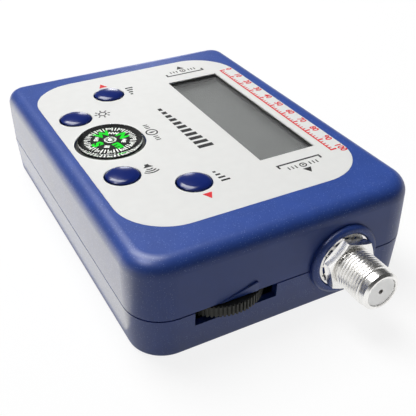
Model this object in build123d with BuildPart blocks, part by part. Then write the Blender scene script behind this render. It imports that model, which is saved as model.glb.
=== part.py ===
from build123d import *
import os
from math import atan2, cos, degrees, radians, sin, sqrt

# A hand-held satellite signal meter that lies on its back.
# Millimetres. +X runs towards the end with the thumbwheel, +Y towards the display edge, +Z up.
# The origin is under the middle of the case, on the surface that it lies on.

# Case
case_length = 95.0
case_width = 68.5
case_height = 24.5
parting_height = 10.5
corner_radius = 8.5
far_corner_radius = 5.0
top_round = 3.6
wall = 2.0
roof = 2.0
floor = 2.0
base_inset = 0.7
base_round = 0.8
seam_depth = 0.35
seam_height = 0.35
lip_height = 1.2
lip_thickness = 0.9

# Clearances
static_gap = 0.1
snug_gap = 0.05
running_gap = 0.05
moving_gap = 0.3
overrun = 1.0

# Face label
label_end_margin = 8.6
label_side_margin = 4.9
label_corner = 12.5
label_thickness = 0.3
label_x = -1.45
label_y = -0.4
layout_x = -2.1

# Display window and display, placed from the label's edges
window_far_margin = 13.1
window_near_margin = 14.9
window_width = 15.1
window_top_margin = 6.3
window_thickness = 1.0
window_margin = 2.0
collar_thickness = 0.7
display_flange = 0.6
glass_thickness = 2.2
glass_overlap = 2.3
frame_wall = 1.5
strip_width = 1.6
backlight_thickness = 1.6

# Key board, hung from posts under the roof
key_board_depth = 4.5
key_board_thickness = 1.6
key_board_overhang = 0.2
key_board_inset = 2.9
key_board_corner = 3.0
roof_post_side_margin = 4.5
roof_post_radius = 2.5

# Push buttons: the outer pair is between the label's lower edge and the window, the inner pair by the compass
outer_key_margin = 13.05
outer_key_share = 0.525
inner_key_gap = 2.2
inner_key_margin = 6.7
key_hole_radius = 4.25
key_side_gap = 0.42
key_rim_rise = 0.25
key_shoulder_width = 0.95
key_shoulder_rise = 0.45
key_crown_rise = 0.3
key_flange_lip = 0.75
key_flange_thickness = 0.8
key_travel = 0.4
plunger_radius = 1.7
switch_size = 6.0
switch_floor = 0.3

# Compass, placed from the label's lower edge
compass_x = -0.1
compass_margin = 10.05
compass_hole_radius = 8.7
cup_wall = 0.5
cup_floor = 0.7
cup_rim_below_label = 0.3
capsule_wall = 0.7
capsule_roof = 0.6
capsule_proud = 1.2
capsule_crown = 0.25
capsule_edge = 0.5
capsule_base_thickness = 0.6
card_gap = 0.5
card_depth = 1.5
card_thickness = 0.4
hub_radius = 1.3
hub_rise = 0.7
hub_bore_radius = 0.5
hub_bore_depth = 0.6
pivot_radius = 0.35
pivot_foot_radius = 1.2
pivot_foot_height = 0.8
magnet_length = 8.0
magnet_width = 1.6
magnet_thickness = 1.0
magnet_spread = 2.2

# Thumbwheel and potentiometer, placed from the case's end and its long side
wheel_radius = 10.5
wheel_proud = 1.6
wheel_side_margin = 10.75
wheel_top_gap = 0.4
wheel_thickness = 2.5
wheel_ribs = 73
rib_gap = 0.42
rib_depth = 0.35
wheel_recess_radius = 3.4
wheel_recess_depth = 0.8
slot_end_gap = 1.74
slot_bottom_gap = 0.9
slot_shift = 0.4
wedge_length = 9.2
wedge_shift = 0.75
wedge_rise = 2.75
wedge_proud = 0.5
wedge_foot = 0.2
wedge_round = 0.6
wedge_edge_round = 0.18
pot_size = 8.6
pot_floor = 0.3
shaft_radius = 2.6
shaft_tip_radius = 2.0
shaft_flat = 1.3
wheel_screw_radius = 0.9
wheel_screw_head_radius = 1.9
wheel_screw_head_height = 0.8
wheel_screw_length = 2.8

# Coaxial connectors, one at each end on one axis; distances along it start at the end face
port_share = 0.403
ring_radius = 8.5
ring_wall = 1.6
ring_height = 1.4
ring_round = 1.0
port_hole_gap = 0.15
block_gap = 0.2
block_size = 10.4
block_depth = 9.0
thread_radius = 4.75
pitch_depth = 0.25
thread_depth = 0.4
thread_pitch = 0.794
thread_crest = 0.34
thread_flank = 0.14
thread_turns = 9
thread_start = 3.8
undercut_length = 0.35
collar_length = 2.0
tip_chamfer = 0.5
barrel_bore_radius = 3.55
barrel_back_wall = 1.5
insulator_recess = 0.4
insulator_back_wall = 1.8
insulator_front = 0.7
socket_radius = 0.55
contact_radius = 1.1
contact_length = 10.4
tail_radius = 0.5
tail_setback = 1.6
back_hole_radius = 1.1
nut_across_flats = 11.1
nut_thickness = 2.4
nut_turn = 44.0
nut_bevel = 0.7
washer_rim = 0.7
washer_thickness = 0.5
washer_centre = 0.62
washer_teeth = 14
tooth_width = 1.1
tooth_thickness = 0.4
tooth_twist = 38.0

# Main board and what stands on it; the margins start at the board's edges
floor_post_height = 2.0
board_thickness = 1.6
board_end_gap = 2.5
board_side_gap = 2.25
board_corner = 5.0
floor_post_end_margin = 11.0
floor_post_side_margin = 3.5
floor_post_radius = 2.5
shield_end_margin = 24.0
shield_side_margin = 4.0
shield_header_gap = 5.46
shield_height = 6.0
shield_sheet = 0.4
shield_x = -4.0
buzzer_radius = 6.0
buzzer_top_gap = 2.3
buzzer_end_margin = 16.0
buzzer_side_margin = 16.0
buzzer_hole_radius = 1.0
buzzer_hole_depth = 1.2
processor_size = 10.0
processor_height = 1.5
processor_x = -6.0
processor_side_margin = 12.0
chip_length = 5.0
chip_width = 4.0
chip_height = 1.5
chip_x = 14.0
chip_pitch = 7.5
chip_side_margin = 4.0
chip_count = 3
can_radius = 2.5
can_top_gap = 3.8
can_end_margin = 15.5
can_pitch = 6.0
can_side_margin = 6.0
can_count = 2
crystal_length = 10.5
crystal_width = 4.0
crystal_height = 3.2
crystal_x = -10.0
crystal_side_margin = 3.0

# Pin header between the boards
header_x = -8.0
header_y = 1.0
pin_pitch = 2.54
pin_columns = 8
pin_rows = 2
pin_size = 0.64
header_base_height = 2.5
header_pin_tail = 2.6
socket_roof = 2.4

# Screws
case_screw_end_margin = 6.6
case_screw_side_margin = 5.95
case_screw_radius = 1.25
case_screw_head_radius = 2.1
case_screw_head_height = 1.8
case_screw_length = 12.0
case_screw_seat = 5.0
driver_slot_width = 0.6
pillar_radius = 2.9
pillar_step = 1.0
board_screw_radius = 0.8
board_screw_head_radius = 1.7
board_screw_head_height = 1.1
board_screw_length = 3.4

# Case and label sizes that follow from the values above
inner_length = case_length - 2 * wall
inner_width = case_width - 2 * wall
roof_underside = case_height - roof
label_length = case_length - 2 * label_end_margin
label_width = case_width - 2 * label_side_margin
label_seat = case_height - label_thickness
pillar_joint = parting_height - pillar_step
case_screw_x = case_length / 2 - case_screw_end_margin
case_screw_y = case_width / 2 - case_screw_side_margin
end_face = case_length / 2
block_face = end_face - wall
block_back = block_face - block_depth

# Boards
board_bottom = floor + floor_post_height
board_top = board_bottom + board_thickness
board_length = inner_length - 2 * board_end_gap
board_width = inner_width - 2 * board_side_gap
floor_post_x = board_length / 2 - floor_post_end_margin
floor_post_y = board_width / 2 - floor_post_side_margin
key_board_top = roof_underside - key_board_depth
key_board_bottom = key_board_top - key_board_thickness
key_board_length = label_length + 2 * key_board_overhang
key_board_width = label_width - 2 * key_board_inset
roof_post_x = block_back - static_gap - roof_post_radius
roof_post_y = key_board_width / 2 - roof_post_side_margin
header_length = pin_columns * pin_pitch
header_width = pin_rows * pin_pitch
header_top = board_top + header_base_height
header_pin_rise = key_board_bottom - header_top - static_gap - socket_roof

# Display
window_length = label_length - window_far_margin - window_near_margin
window_x = label_x + (window_far_margin - window_near_margin) / 2
window_y = label_y + label_width / 2 - window_top_margin - window_width / 2
window_seat = label_seat - window_thickness
glass_top = roof_underside - display_flange
glass_bottom = glass_top - glass_thickness
glass_length = window_length + 2 * glass_overlap
glass_width = window_width + 2 * glass_overlap

# Buttons and compass
key_radius = key_hole_radius - key_side_gap
key_flange_radius = key_hole_radius + key_flange_lip
key_rim_height = case_height + key_rim_rise
key_crown_height = key_rim_height + key_shoulder_rise + key_crown_rise
key_crown_radius = key_radius - key_shoulder_width
key_flange_top = roof_underside - moving_gap
key_flange_bottom = key_flange_top - key_flange_thickness
switch_height = key_flange_bottom - key_board_top - key_travel - moving_gap - 2 * static_gap
plunger_length = key_flange_bottom - key_board_top - switch_floor - key_travel - 2 * static_gap
label_foot = label_y - label_width / 2
outer_key_x = label_length / 2 - outer_key_margin
outer_key_y = label_foot + outer_key_share * (window_y - window_width / 2 - label_foot)
inner_key_x = compass_hole_radius + key_flange_radius + inner_key_gap
inner_key_y = label_foot + inner_key_margin
key_places = {
    "down": (layout_x - outer_key_x, outer_key_y),
    "light": (layout_x - inner_key_x, inner_key_y),
    "buzzer": (layout_x + inner_key_x, inner_key_y),
    "up": (layout_x + outer_key_x, outer_key_y),
}
compass_place = (layout_x + compass_x, label_foot + compass_margin)
cup_radius = compass_hole_radius - moving_gap
cup_rim = case_height - cup_rim_below_label
cup_seat = key_board_top + cup_floor
capsule_radius = cup_radius - cup_wall - static_gap
capsule_inner = capsule_radius - capsule_wall
capsule_top = case_height + capsule_proud
capsule_shoulder = capsule_top - capsule_crown
card_radius = capsule_inner - card_gap
card_top = capsule_top - card_depth
card_height = card_top - card_thickness

# Thumbwheel
wheel_x = end_face + wheel_proud - wheel_radius
wheel_y = -case_width / 2 + wheel_side_margin + wheel_radius
wheel_top = parting_height - wheel_top_gap
wheel_bottom = wheel_top - wheel_thickness
recess_floor = wheel_top - wheel_recess_depth
slot_length = 2 * (sqrt(wheel_radius**2 - (end_face - wall - wheel_x) ** 2) + slot_end_gap)
slot_height = wheel_top_gap + wheel_thickness + slot_bottom_gap
wedge_y = wheel_y + wedge_shift
pot_height = wheel_bottom - board_top - moving_gap

# Connectors
port_y = port_share * case_width / 2
port_z = board_top + block_gap + block_size / 2
port_reach = thread_start + thread_turns * thread_pitch + undercut_length + collar_length
port_tip = end_face + port_reach
pitch_radius = thread_radius - pitch_depth
thread_root_radius = thread_radius - thread_depth
port_hole_radius = thread_radius + port_hole_gap
ring_recess_radius = ring_radius - ring_wall
insulator_face = port_tip - insulator_recess
contact_face = insulator_face - insulator_front - snug_gap
contact_back = contact_face - contact_length
insulator_back = contact_back - snug_gap - insulator_back_wall
tail_x = block_back - tail_setback
nut_front = end_face + thread_start - static_gap
washer_radius = ring_recess_radius - moving_gap
tooth_inner_radius = pitch_radius + snug_gap
tooth_length = washer_radius - washer_rim - tooth_inner_radius + washer_rim / 2

# Pieces on the main board
shield_length = board_length - 2 * shield_end_margin
shield_width = board_width / 2 - shield_side_margin - header_y - header_width / 2 - shield_header_gap
shield_y = (board_width - shield_width) / 2 - shield_side_margin
buzzer_x = -board_length / 2 + buzzer_end_margin
buzzer_y = -board_width / 2 + buzzer_side_margin
buzzer_height = key_board_bottom - board_top - buzzer_top_gap
processor_y = -board_width / 2 + processor_side_margin
chip_y = -board_width / 2 + chip_side_margin
can_x = -board_length / 2 + can_end_margin
can_y = board_width / 2 - can_side_margin
can_height = key_board_bottom - board_top - can_top_gap
crystal_y = -board_width / 2 + crystal_side_margin

os.makedirs("parts", exist_ok=True)


def save(piece, name):
    """Labels a finished piece and writes its file."""
    piece.part.label = name
    export_step(piece.part, f"parts/{name}.step")


def corners(x, y):
    """The four places that mirror one place about both middle planes."""
    return [(x, y), (-x, y), (-x, -y), (x, -y)]


roof_posts = [(x, label_y + y) for x, y in corners(roof_post_x, roof_post_y)]


def port_plane(side):
    """Section plane of the connector at one end: local x points outwards, local y up."""
    return Plane(origin=(0, port_y, port_z), x_dir=(side, 0, 0), z_dir=(0, -side, 0))


port_axis = Axis((0, port_y, port_z), (1, 0, 0))


def port_ring(side):
    """Flat pad and raised round ring that carry a connector on one end face."""
    with BuildPart() as ring:
        with BuildSketch(port_plane(side)):
            with BuildLine():
                Polyline(
                    (end_face - wall / 2, 0),
                    (end_face, 0),
                    (end_face, ring_recess_radius),
                    (end_face + ring_height, ring_recess_radius),
                    (end_face + ring_height, ring_radius),
                    (end_face - wall / 2, ring_radius),
                    close=True,
                )
            make_face()
        revolve(axis=port_axis)
        rim = ring.edges().filter_by(GeomType.CIRCLE).sort_by(Axis.X)
        outer = rim[-2:] if side > 0 else rim[:2]
        fillet(outer.sort_by(SortBy.RADIUS)[-1], ring_round)
        fillet(outer.sort_by(SortBy.RADIUS)[0], ring_round / 4)
    return ring.part


def case_outline(inset):
    """The case's outline moved inwards. Its far corners are tighter than its near ones."""
    with BuildSketch() as outline:
        Rectangle(case_length - 2 * inset, case_width - 2 * inset)
        fillet(outline.vertices().group_by(Axis.X)[-1], corner_radius - inset)
        fillet(outline.vertices().group_by(Axis.X)[0], far_corner_radius - inset)
    return outline.sketch


def half_space(low, high):
    """A block larger than the case between two heights."""
    with BuildPart() as block:
        with BuildSketch(Plane.XY.offset(low)):
            Rectangle(2 * case_length, 2 * case_width)
        extrude(amount=high - low)
    return block.part


rings = [port_ring(side) for side in (1, -1)]
lower_rings = [ring & half_space(-case_height, parting_height) for ring in rings]
upper_rings = [ring & half_space(parting_height, 2 * case_height) for ring in rings]
outer_outline = case_outline(0)
seam_outline = case_outline(seam_depth)
lip_outline = case_outline(wall - lip_thickness)
lip_room_outline = case_outline(wall - lip_thickness - static_gap)
inner_outline = case_outline(wall)

# Lower shell: drafted tray with a locating lip, screw pillars, board posts and the thumbwheel's slot
draft = degrees(atan2(base_inset, parting_height))
with BuildPart() as bottom_shell:
    with BuildSketch(Plane.XY.offset(parting_height)):
        add(outer_outline)
    extrude(amount=-parting_height, taper=draft)
    fillet(bottom_shell.faces().sort_by(Axis.Z)[0].edges(), base_round)
    with BuildSketch(Plane.XY.offset(floor)):
        add(inner_outline)
    extrude(amount=parting_height, mode=Mode.SUBTRACT)
    with BuildSketch(Plane.XY.offset(parting_height - seam_height)):
        Rectangle(case_length + overrun, case_width + overrun)
        add(seam_outline, mode=Mode.SUBTRACT)
    extrude(amount=seam_height, mode=Mode.SUBTRACT)
    with BuildSketch(Plane.XY.offset(parting_height)):
        add(lip_outline)
        add(inner_outline, mode=Mode.SUBTRACT)
    extrude(amount=lip_height)
    for ring in lower_rings:
        add(ring)
    with BuildSketch(Plane.XY.offset(floor)):
        with Locations(*corners(case_screw_x, case_screw_y)):
            Circle(pillar_radius)
    extrude(amount=pillar_joint - floor)
    with BuildSketch(Plane.XY.offset(floor)):
        with Locations(*corners(floor_post_x, floor_post_y)):
            Circle(floor_post_radius)
    extrude(amount=board_bottom - floor)
    with BuildSketch():
        with Locations(*corners(case_screw_x, case_screw_y)):
            Circle(case_screw_head_radius + static_gap)
    extrude(amount=case_screw_seat, mode=Mode.SUBTRACT)
    with BuildSketch():
        with Locations(*corners(case_screw_x, case_screw_y)):
            Circle(case_screw_radius + static_gap)
    extrude(amount=pillar_joint, mode=Mode.SUBTRACT)
    with BuildSketch(Plane.XY.offset(floor)):
        with Locations(*corners(floor_post_x, floor_post_y)):
            Circle(board_screw_radius + snug_gap)
    extrude(amount=board_bottom, mode=Mode.SUBTRACT)
    with BuildSketch(Plane.YZ):
        with Locations((port_y, port_z)):
            Circle(port_hole_radius)
    extrude(amount=case_length, both=True, mode=Mode.SUBTRACT)
    with BuildSketch(Plane.YZ.offset(end_face - wall - overrun)):
        with Locations((wheel_y + slot_shift, parting_height - slot_height)):
            Rectangle(slot_length, slot_height + lip_height, align=(Align.CENTER, Align.MIN))
    extrude(amount=wall + 2 * overrun, mode=Mode.SUBTRACT)
save(bottom_shell, "bottom_shell")

# Wedge over the thumbwheel: its face leans back towards the parting line and its upper edge is rounded
with BuildPart() as wedge:
    with BuildSketch(Plane.YZ.offset(end_face - wedge_proud)):
        with BuildLine():
            Polyline(
                (wedge_y - wedge_length / 2, parting_height),
                (wedge_y + wedge_length / 2, parting_height),
                (wedge_y + wedge_length / 2, parting_height + wedge_rise),
                close=True,
            )
        make_face()
        fillet(vertices().group_by(Axis.Y)[-1].sort_by(Axis.Z)[-1], wedge_round)
    extrude(amount=2 * wedge_proud)
    with BuildSketch(Plane.XZ.offset(-wedge_y)):
        with BuildLine():
            Polyline(
                (end_face + wedge_foot, parting_height),
                (end_face + wedge_proud, parting_height + wedge_rise),
                (end_face + 2 * wedge_proud, parting_height + wedge_rise),
                (end_face + 2 * wedge_proud, parting_height),
                close=True,
            )
        make_face()
    extrude(amount=wedge_length, both=True, mode=Mode.SUBTRACT)
    front = wedge.faces().sort_by(Axis.X)[-1]
    fillet(front.edges().sort_by(Axis.Z)[1:], wedge_edge_round)

# Upper shell: rounded cover with the label's recess, openings, pillars and posts
with BuildPart() as top_shell:
    with BuildSketch(Plane.XY.offset(parting_height)):
        add(outer_outline)
    extrude(amount=case_height - parting_height)
    fillet(top_shell.faces().sort_by(Axis.Z)[-1].edges(), top_round)
    with BuildSketch(Plane.XY.offset(parting_height)):
        add(inner_outline)
    extrude(amount=roof_underside - parting_height, mode=Mode.SUBTRACT)
    with BuildSketch(Plane.XY.offset(parting_height)):
        add(lip_room_outline)
    extrude(amount=lip_height + static_gap, mode=Mode.SUBTRACT)
    for ring in upper_rings:
        add(ring)
    with BuildSketch(Plane.XY.offset(pillar_joint)):
        with Locations(*corners(case_screw_x, case_screw_y)):
            Circle(pillar_radius)
    extrude(amount=roof_underside - pillar_joint)
    with BuildSketch(Plane.XY.offset(key_board_top)):
        with Locations(*roof_posts):
            Circle(roof_post_radius)
    extrude(amount=roof_underside - key_board_top)
    with BuildSketch(Plane.XY.offset(pillar_joint)):
        with Locations(*corners(case_screw_x, case_screw_y)):
            Circle(case_screw_radius + snug_gap)
    extrude(amount=case_screw_length + case_screw_seat - pillar_joint + overrun, mode=Mode.SUBTRACT)
    with BuildSketch(Plane.XY.offset(key_board_top)):
        with Locations(*roof_posts):
            Circle(board_screw_radius + snug_gap)
    extrude(amount=board_screw_length, mode=Mode.SUBTRACT)
    with BuildSketch(Plane.XY.offset(label_seat)):
        with Locations((label_x, label_y)):
            RectangleRounded(label_length, label_width, label_corner)
    extrude(amount=overrun, mode=Mode.SUBTRACT)
    with BuildSketch(Plane.XY.offset(window_seat)):
        with Locations((window_x, window_y)):
            Rectangle(window_length + 2 * window_margin, window_width + 2 * window_margin)
    extrude(amount=case_height, mode=Mode.SUBTRACT)
    with BuildSketch(Plane.XY.offset(key_board_top)):
        with Locations((window_x, window_y)):
            Rectangle(
                window_length + 2 * (collar_thickness + snug_gap),
                window_width + 2 * (collar_thickness + snug_gap),
            )
        with Locations(*key_places.values()):
            Circle(key_hole_radius)
        with Locations(compass_place):
            Circle(compass_hole_radius)
    extrude(amount=case_height, mode=Mode.SUBTRACT)
    with BuildSketch(Plane.YZ):
        with Locations((port_y, port_z)):
            Circle(port_hole_radius)
    extrude(amount=case_length, both=True, mode=Mode.SUBTRACT)
    add(wedge.part)
save(top_shell, "top_shell")

# Printed face label with its openings
with BuildPart() as face_label:
    with BuildSketch(Plane.XY.offset(label_seat)):
        with Locations((label_x, label_y)):
            RectangleRounded(
                label_length - 2 * snug_gap, label_width - 2 * snug_gap, label_corner - snug_gap
            )
        with Locations((window_x, window_y)):
            Rectangle(window_length, window_width, mode=Mode.SUBTRACT)
        with Locations(*key_places.values()):
            Circle(key_hole_radius, mode=Mode.SUBTRACT)
        with Locations(compass_place):
            Circle(compass_hole_radius, mode=Mode.SUBTRACT)
    extrude(amount=label_thickness)
save(face_label, "face_label")

# Clear window under the label's edge, in its own rebate
with BuildPart() as display_window:
    with BuildSketch(Plane.XY.offset(window_seat)):
        with Locations((window_x, window_y)):
            Rectangle(
                window_length + 2 * (window_margin - snug_gap), window_width + 2 * (window_margin - snug_gap)
            )
    extrude(amount=window_thickness)
save(display_window, "display_window")

# Black frame: holds the glass and lines the opening in the roof
frame_length = glass_length + 2 * (static_gap + frame_wall)
frame_width = glass_width + 2 * (static_gap + frame_wall)
with BuildPart() as display_frame:
    with BuildSketch(Plane.XY.offset(key_board_top)):
        with Locations((window_x, window_y)):
            Rectangle(frame_length, frame_width)
    extrude(amount=roof_underside - key_board_top)
    with BuildSketch(Plane.XY.offset(roof_underside)):
        with Locations((window_x, window_y)):
            Rectangle(window_length + 2 * collar_thickness, window_width + 2 * collar_thickness)
    extrude(amount=window_seat - roof_underside - snug_gap)
    with BuildSketch(Plane.XY.offset(key_board_top)):
        with Locations((window_x, window_y)):
            Rectangle(glass_length + 2 * static_gap, glass_width + 2 * static_gap)
    extrude(amount=glass_top - key_board_top, mode=Mode.SUBTRACT)
    with BuildSketch(Plane.XY.offset(key_board_top)):
        with Locations((window_x, window_y)):
            Rectangle(window_length, window_width)
    extrude(amount=case_height, mode=Mode.SUBTRACT)
save(display_frame, "display_frame")

# Liquid crystal glass
with BuildPart() as display_glass:
    with BuildSketch(Plane.XY.offset(glass_bottom)):
        with Locations((window_x, window_y)):
            Rectangle(glass_length, glass_width)
    extrude(amount=glass_thickness)
save(display_glass, "display_glass")

# Conductive rubber strips between the key board and the glass
strip_offset = (glass_width - strip_width) / 2
with BuildPart() as display_strips:
    with BuildSketch(Plane.XY.offset(key_board_top)):
        with Locations((window_x, window_y - strip_offset), (window_x, window_y + strip_offset)):
            Rectangle(glass_length - 2 * strip_width, strip_width)
    extrude(amount=glass_bottom - key_board_top)
save(display_strips, "display_strips")

# Backlight panel under the glass, between the strips
with BuildPart() as display_backlight:
    with BuildSketch(Plane.XY.offset(key_board_top)):
        with Locations((window_x, window_y)):
            Rectangle(glass_length - 2 * strip_width, glass_width - 2 * strip_width - 2 * static_gap)
    extrude(amount=backlight_thickness)
save(display_backlight, "display_backlight")

# Key board, notched round the pillars and the connectors' blocks
with BuildPart() as key_board:
    with BuildSketch(Plane.XY.offset(key_board_bottom)):
        with Locations((layout_x, label_y)):
            RectangleRounded(key_board_length, key_board_width, key_board_corner)
        with Locations(*roof_posts):
            Circle(board_screw_radius + static_gap, mode=Mode.SUBTRACT)
        with Locations(*corners(case_screw_x, case_screw_y)):
            Circle(pillar_radius + moving_gap, mode=Mode.SUBTRACT)
        with Locations((block_face, port_y), (-block_face, port_y)):
            Rectangle(
                2 * (block_depth + moving_gap), block_size + 2 * moving_gap, mode=Mode.SUBTRACT
            )
    extrude(amount=key_board_thickness)
save(key_board, "key_board")

# Tact switch cases under the four buttons
with BuildPart() as switch_cases:
    with BuildSketch(Plane.XY.offset(key_board_top)):
        with Locations(*key_places.values()):
            Rectangle(switch_size, switch_size)
    extrude(amount=switch_height)
    with BuildSketch(Plane.XY.offset(key_board_top + switch_floor)):
        with Locations(*key_places.values()):
            Circle(plunger_radius + running_gap)
    extrude(amount=switch_height, mode=Mode.SUBTRACT)
save(switch_cases, "switch_cases")

# Buttons with a low crown, a rounded shoulder and a flange under the roof, and the switch plungers they press
for key_name, (key_x, key_y) in key_places.items():
    with BuildPart() as button:
        with BuildSketch(Plane(origin=(key_x, key_y, 0), x_dir=(1, 0, 0), z_dir=(0, -1, 0))):
            with BuildLine():
                Polyline(
                    (0, key_crown_height),
                    (0, key_flange_bottom),
                    (key_flange_radius, key_flange_bottom),
                    (key_flange_radius, key_flange_top),
                    (key_radius, key_flange_top),
                    (key_radius, key_rim_height),
                )
                crown = RadiusArc(
                    (0, key_crown_height),
                    (key_crown_radius, key_crown_height - key_crown_rise),
                    (key_crown_radius**2 + key_crown_rise**2) / (2 * key_crown_rise),
                )
                TangentArc(crown @ 1, (key_radius, key_rim_height), tangent=crown % 1)
            make_face()
        revolve(axis=Axis((key_x, key_y, 0), (0, 0, 1)))
    save(button, f"{key_name}_button")
    with BuildPart() as plunger:
        with BuildSketch(Plane.XY.offset(key_flange_bottom)):
            with Locations((key_x, key_y)):
                Circle(plunger_radius)
        extrude(amount=-plunger_length)
    save(plunger, f"{key_name}_switch_plunger")

# Compass cup, standing on the key board
with BuildPart() as compass_cup:
    with BuildSketch(Plane.XY.offset(key_board_top)):
        with Locations(compass_place):
            Circle(cup_radius)
    extrude(amount=cup_rim - key_board_top)
    with BuildSketch(Plane.XY.offset(cup_seat)):
        with Locations(compass_place):
            Circle(cup_radius - cup_wall)
    extrude(amount=cup_rim, mode=Mode.SUBTRACT)
save(compass_cup, "compass_cup")


def dome_radius(half_chord, rise):
    """Radius of the arc that rises this much over this half chord."""
    return (half_chord**2 + rise**2) / (2 * rise)


# Compass capsule: clear, stands proud of the label and has a shallow crown
compass_plane = Plane(origin=(*compass_place, 0), x_dir=(1, 0, 0), z_dir=(0, -1, 0))
compass_axis = Axis((*compass_place, 0), (0, 0, 1))
with BuildPart() as compass_capsule:
    with BuildSketch(compass_plane):
        with BuildLine():
            RadiusArc(
                (capsule_radius, capsule_shoulder),
                (0, capsule_top),
                -dome_radius(capsule_radius, capsule_crown),
            )
            Line((0, capsule_top), (0, capsule_top - capsule_roof))
            RadiusArc(
                (0, capsule_top - capsule_roof),
                (capsule_inner, capsule_shoulder - capsule_roof),
                dome_radius(capsule_inner, capsule_crown),
            )
            Polyline(
                (capsule_inner, capsule_shoulder - capsule_roof),
                (capsule_inner, cup_seat),
                (capsule_radius, cup_seat),
                (capsule_radius, capsule_shoulder),
            )
        make_face()
        fillet(vertices().group_by(Axis.X)[-1].sort_by(Axis.Y)[-1], capsule_edge)
    revolve(axis=compass_axis)
save(compass_capsule, "compass_capsule")

# Disc that closes the capsule from below
with BuildPart() as compass_base:
    with BuildSketch(Plane.XY.offset(cup_seat)):
        with Locations(compass_place):
            Circle(capsule_inner - snug_gap)
    extrude(amount=capsule_base_thickness)
save(compass_base, "compass_base")

# Pivot needle with its foot
pivot_seat = cup_seat + capsule_base_thickness
pivot_tip = card_height + hub_bore_depth - snug_gap
with BuildPart() as compass_pivot:
    with BuildSketch(compass_plane):
        with BuildLine():
            Polyline(
                (0, pivot_seat),
                (pivot_foot_radius, pivot_seat),
                (pivot_radius, pivot_seat + pivot_foot_height),
                (pivot_radius, pivot_tip - pivot_radius),
                (0, pivot_tip),
                close=True,
            )
        make_face()
    revolve(axis=compass_axis)
save(compass_pivot, "compass_pivot")

# Turning card with its hub and the two needle magnets under it
with BuildPart() as compass_card:
    with BuildSketch(Plane.XY.offset(card_height)):
        with Locations(compass_place):
            Circle(card_radius)
            Circle(hub_radius, mode=Mode.SUBTRACT)
    extrude(amount=card_thickness)
save(compass_card, "compass_card")

with BuildPart() as compass_hub:
    with BuildSketch(compass_plane):
        with BuildLine():
            Polyline(
                (0, card_height + hub_bore_depth),
                (hub_bore_radius, card_height + hub_bore_depth - hub_bore_radius / 2),
                (hub_bore_radius, card_height),
                (hub_radius, card_height),
                (hub_radius, card_top),
            )
            RadiusArc(
                (hub_radius, card_top), (0, card_top + hub_rise), -dome_radius(hub_radius, hub_rise)
            )
            Line((0, card_top + hub_rise), (0, card_height + hub_bore_depth))
        make_face()
    revolve(axis=compass_axis)
save(compass_hub, "compass_hub")

with BuildPart() as compass_magnets:
    with BuildSketch(Plane.XY.offset(card_height)):
        with Locations(compass_place):
            with Locations((-magnet_spread, 0), (magnet_spread, 0)):
                Rectangle(magnet_width, magnet_length)
    extrude(amount=-magnet_thickness)
save(compass_magnets, "compass_magnets")

# Thumbwheel: ribbed disc keyed on the potentiometer's shaft
wheel_plane = Plane.XY.offset(wheel_bottom)
with BuildPart() as thumbwheel:
    with BuildSketch(wheel_plane):
        with Locations((wheel_x, wheel_y)):
            Circle(wheel_radius)
            with PolarLocations(wheel_radius, wheel_ribs):
                Rectangle(2 * rib_depth, rib_gap, mode=Mode.SUBTRACT)
    extrude(amount=wheel_thickness)
    with BuildSketch(wheel_plane):
        with Locations((wheel_x, wheel_y)):
            Circle(shaft_tip_radius + snug_gap)
            with Locations((shaft_flat + snug_gap, 0)):
                Rectangle(
                    wheel_radius,
                    wheel_radius,
                    align=(Align.MIN, Align.CENTER),
                    mode=Mode.SUBTRACT,
                )
    extrude(amount=wheel_thickness, mode=Mode.SUBTRACT)
    with BuildSketch(Plane.XY.offset(recess_floor)):
        with Locations((wheel_x, wheel_y)):
            Circle(wheel_recess_radius)
    extrude(amount=wheel_recess_depth, mode=Mode.SUBTRACT)
save(thumbwheel, "thumbwheel")

# Potentiometer: flat case on the main board, shaft with a flat, and the wheel's screw
shaft_bottom = board_top + pot_floor
with BuildPart() as potentiometer_case:
    with BuildSketch(Plane.XY.offset(board_top)):
        with Locations((wheel_x, wheel_y)):
            Rectangle(pot_size, pot_size)
    extrude(amount=pot_height)
    with BuildSketch(Plane.XY.offset(shaft_bottom - snug_gap)):
        with Locations((wheel_x, wheel_y)):
            Circle(shaft_radius + running_gap)
    extrude(amount=pot_height, mode=Mode.SUBTRACT)
save(potentiometer_case, "potentiometer_case")

with BuildPart() as potentiometer_shaft:
    with BuildSketch(Plane.XY.offset(shaft_bottom)):
        with Locations((wheel_x, wheel_y)):
            Circle(shaft_radius)
    extrude(amount=wheel_bottom - snug_gap - shaft_bottom)
    with BuildSketch(Plane.XY.offset(wheel_bottom - snug_gap)):
        with Locations((wheel_x, wheel_y)):
            Circle(shaft_tip_radius)
            with Locations((shaft_flat, 0)):
                Rectangle(
                    wheel_radius,
                    wheel_radius,
                    align=(Align.MIN, Align.CENTER),
                    mode=Mode.SUBTRACT,
                )
    extrude(amount=recess_floor - wheel_bottom)
    with BuildSketch(Plane.XY.offset(recess_floor)):
        with Locations((wheel_x, wheel_y)):
            Circle(wheel_screw_radius + snug_gap)
    extrude(amount=-wheel_screw_length - snug_gap, mode=Mode.SUBTRACT)
save(potentiometer_shaft, "potentiometer_shaft")

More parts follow.
